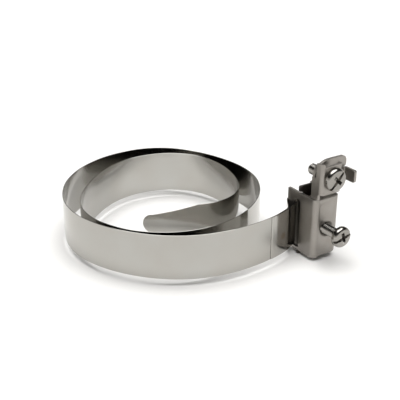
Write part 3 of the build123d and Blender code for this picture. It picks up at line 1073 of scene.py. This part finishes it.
@dataclass(frozen=True)
class ThreadTree:
    """Geometry node tree that winds a grid into a right hand threaded shank along +Y."""

    material: bpy.types.Material
    around: int = 49
    rows_per_pitch: int = 10
    point_depth: float = 0.75 * MM
    name: str = "metric_thread"

    def build(self) -> bpy.types.NodeTree:
        """Build the tree.

        Returns:
            The tree, with the inputs Length, Pitch, Crest radius and Depth.
        """
        tree = bpy.data.node_groups.new(self.name, "GeometryNodeTree")
        tree.interface.new_socket("Geometry", in_out="OUTPUT", socket_type="NodeSocketGeometry")
        for label in ("Length", "Pitch", "Crest radius", "Depth"):
            tree.interface.new_socket(label, in_out="INPUT", socket_type="NodeSocketFloat")
        given = add_node(tree, "NodeGroupInput").outputs
        length, pitch, crest = given["Length"], given["Pitch"], given["Crest radius"]

        # a flat grid whose X is the turn in radians and whose Y is the place along the shank
        turns = self.worked_out(tree, "DIVIDE", length, pitch)
        rows = self.worked_out(tree, "MULTIPLY", turns, float(self.rows_per_pitch))
        grid = add_node(tree, "GeometryNodeMeshGrid", inputs={
            "Size X": 2 * math.pi, "Size Y": length, "Vertices X": self.around, "Vertices Y": rows})
        place = add_node(tree, "GeometryNodeInputPosition")
        parts = add_node(tree, "ShaderNodeSeparateXYZ", inputs={0: place.outputs[0]})
        angle = parts.outputs["X"]
        along = self.worked_out(tree, "MULTIPLY_ADD", length, 0.5, parts.outputs["Y"])

        # the thread's depth here: a straight sided wave that climbs one pitch for each turn
        climbed = self.worked_out(tree, "DIVIDE", along, pitch)
        wound = self.worked_out(tree, "DIVIDE", angle, 2 * math.pi)
        phase = self.worked_out(tree, "SUBTRACT", climbed, wound)
        wave = self.worked_out(tree, "PINGPONG", phase, 0.5)
        ridge = self.worked_out(tree, "MULTIPLY", wave, 2.0)
        groove = self.worked_out(tree, "MULTIPLY", ridge, given["Depth"])
        threaded = self.worked_out(tree, "SUBTRACT", crest, groove)

        # the point is chamfered at 45 degrees
        left = self.worked_out(tree, "SUBTRACT", length, along)
        tip = self.worked_out(tree, "SUBTRACT", crest, self.point_depth)
        chamfer = self.worked_out(tree, "ADD", tip, left)
        radius = self.worked_out(tree, "MINIMUM", threaded, chamfer)
        sine = self.worked_out(tree, "SINE", angle)
        cosine = self.worked_out(tree, "COSINE", angle)
        x = self.worked_out(tree, "MULTIPLY", radius, sine)
        z = self.worked_out(tree, "MULTIPLY", radius, cosine)
        wrapped = add_node(tree, "ShaderNodeCombineXYZ", inputs={"X": x, "Y": along, "Z": z})
        moved = add_node(tree, "GeometryNodeSetPosition", inputs={
            "Geometry": grid.outputs["Mesh"], "Position": wrapped.outputs[0]})
        real = add_node(tree, "GeometryNodeRealizeInstances", inputs={0: moved.outputs[0]})
        dressed = add_node(tree, "GeometryNodeSetMaterial", inputs={
            "Geometry": real.outputs[0], "Material": self.material})
        add_node(tree, "NodeGroupOutput", inputs={"Geometry": dressed.outputs[0]})
        return tree

    @staticmethod
    def worked_out(tree: bpy.types.NodeTree, operation: str, *values: Any) -> bpy.types.NodeSocket:
        """Add one calculation.

        Args:
            tree: Tree that gets the node.
            operation: Name of the calculation.
            values: Numbers or sockets, in the node's order.

        Returns:
            The result's socket.
        """
        return add_node(tree, "ShaderNodeMath", {"operation": operation}, dict(enumerate(values))).outputs[0]


# Studio


@dataclass
class Studio:
    """White paper floor, even soft light, and the camera of the product picture."""

    floor_size: float = 6.0
    lens: float = 72.0
    sensor: float = 36.0
    clip: tuple[float, float] = (0.01, 20.0)
    distance: float = 498 * MM
    elevation: float = 24.4
    azimuth: float = 33.0
    aim: tuple[float, float, float] = (28.8 * MM, 32.7 * MM, 4.25 * MM)
    wall: str = "#e6e4e0"
    room: str = "#2c2b29"
    wall_top: float = 14.0
    wall_fade: float = 0.06
    box: str = "#ffffff"
    box_from: float = 58.0
    box_fade: tuple[float, float] = (0.06, 0.04)
    box_strength: float = 2.3
    sun_strength: float = 1.65
    sun_spread: float = 60.0

    def build(self) -> None:
        """Make the floor, the sky, the lights and the camera."""
        self.floor()
        self.world()
        self.lights()
        self.camera()

    def floor(self) -> None:
        """Lay the paper floor at the height the clamp rests on."""
        half = self.floor_size / 2
        corners = [(-half, -half, 0), (half, -half, 0), (half, half, 0), (-half, half, 0)]
        mesh = bpy.data.meshes.new("floor")
        mesh.from_pydata(corners, [], [(0, 1, 2, 3)])
        floor = finished(mesh, "floor", PaperFloor().build())

    def world(self) -> None:
        """Pale wall round the table, a dark room above it, and one broad soft box overhead."""
        world = bpy.data.worlds.new("studio_room")
        world.use_nodes = True
        tree = world.node_tree
        place = add_node(tree, "ShaderNodeTexCoord")
        parts = add_node(tree, "ShaderNodeSeparateXYZ", inputs={0: place.outputs["Generated"]})
        edge, start = math.sin(math.radians(self.wall_top)), math.sin(math.radians(self.box_from))
        before, after = self.box_fade
        lit = tuple(self.box_strength * c for c in srgb(self.box)[:3]) + (1.0,)
        ramp = add_node(tree, "ShaderNodeValToRGB", inputs={0: parts.outputs["Z"]})
        set_ramp(ramp, [(edge, srgb(self.wall)), (edge + self.wall_fade, srgb(self.room)),
                        (start - before, srgb(self.room)), (start + after, lit)])
        tree.links.new(ramp.outputs["Color"], tree.nodes["Background"].inputs["Color"])
        bpy.context.scene.world = world

    def lights(self) -> None:
        """Broad even light from overhead that whitens the paper."""
        light = bpy.data.lights.new("overhead", "SUN")
        light.energy = self.sun_strength
        light.angle = math.radians(self.sun_spread)
        linked("overhead", light)

    def camera(self) -> None:
        """Stand the camera where the picture was taken from."""
        up, side = math.radians(self.elevation), math.radians(self.azimuth)
        ahead = Vector((math.sin(side) * math.cos(up), math.cos(side) * math.cos(up), -math.sin(up)))
        lens = bpy.data.cameras.new("camera")
        lens.lens = self.lens
        lens.sensor_width = self.sensor
        lens.clip_start, lens.clip_end = self.clip
        camera = linked("camera", lens)
        camera.location = Vector(self.aim) - ahead * self.distance
        camera.rotation_euler = ahead.to_track_quat("-Z", "Y").to_euler()
        bpy.context.scene.camera = camera


# The whole clamp


@dataclass
class EarthingClamp:
    """The whole clamp, put together from its frame.

    The pressure plate sits inside the head, where it looks darker than the sheet round it; its darker
    colours are painted shade.
    """

    frame: dict[str, Any]
    strip: ColdRolledStrip = ColdRolledStrip()
    sheet: PlatedSteel = PlatedSteel("tumbled_zinc_plated_sheet", "#a39f9a", "#948f89", roughness=0.4)
    # darker copy of the plated steel for the pressure plate: painted shade for the plate deep inside the
    # head
    inner: PlatedSteel = PlatedSteel("tumbled_pressure_plate", "#6f6a64", "#5f5b55")
    bright: PlatedSteel = PlatedSteel("bright_nickel_plated_screw", "#a09d98", "#8e8b86", roughness=0.15)
    tension_slot_degrees: float = 15.0
    terminal_slot_degrees: float = 47.0

    def sheet_piece(self, node: str, name: str, finish: PlatedSteel) -> bpy.types.Object:
        """Build one folded sheet.

        Args:
            node: Name of its solid.
            name: Name of the finished piece.
            finish: Its plated steel.

        Returns:
            The finished piece.
        """
        return FoldedSheet(self.frame["nodes"][node], name, finish).build()

    def screw_piece(self, node: str, slot_degrees: float) -> bpy.types.Object:
        """Build one screw.

        Args:
            node: Name of its solid.
            slot_degrees: Turn of its slot from level, seen from the front.

        Returns:
            The finished piece.
        """
        return ComboScrew(self.frame["nodes"][node], node + "_m6", self.bright, slot_degrees).build()

    def build(self) -> None:
        """Build each piece, replace its solid and let it ride on its body."""
        nodes = self.frame["nodes"]
        made = [
            (Strap(nodes["band"], self.strip).build(), "band", Slot.STRAP),
            (self.sheet_piece("head_bracket", "head_soft", self.sheet), "head_bracket", Slot.HEAD),
            (self.sheet_piece("pressure_plate", "plate_soft", self.inner), "pressure_plate", Slot.PLATE),
            (self.sheet_piece("terminal_saddle", "saddle_soft", self.sheet), "terminal_saddle", Slot.HEAD),
            (self.screw_piece("tension_screw", self.tension_slot_degrees), "tension_screw", Slot.SCREWS),
            (self.screw_piece("terminal_screw", self.terminal_slot_degrees), "terminal_screw", Slot.SCREWS),
        ]
        for piece, node, slot in made:
            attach(piece, nodes[node]["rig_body"])
            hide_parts(node)
            LOG.info("%s stands for %s", piece.name, node)


def main() -> None:
    """Load the frame, build the clamp and its studio, and note the sizes."""
    logging.basicConfig(level=logging.INFO, format="%(name)s: %(message)s")
    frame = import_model()
    EarthingClamp(frame).build()
    Studio().build()
    bpy.context.scene.view_settings.view_transform = "Standard"


if __name__ == "__main__":
    main()
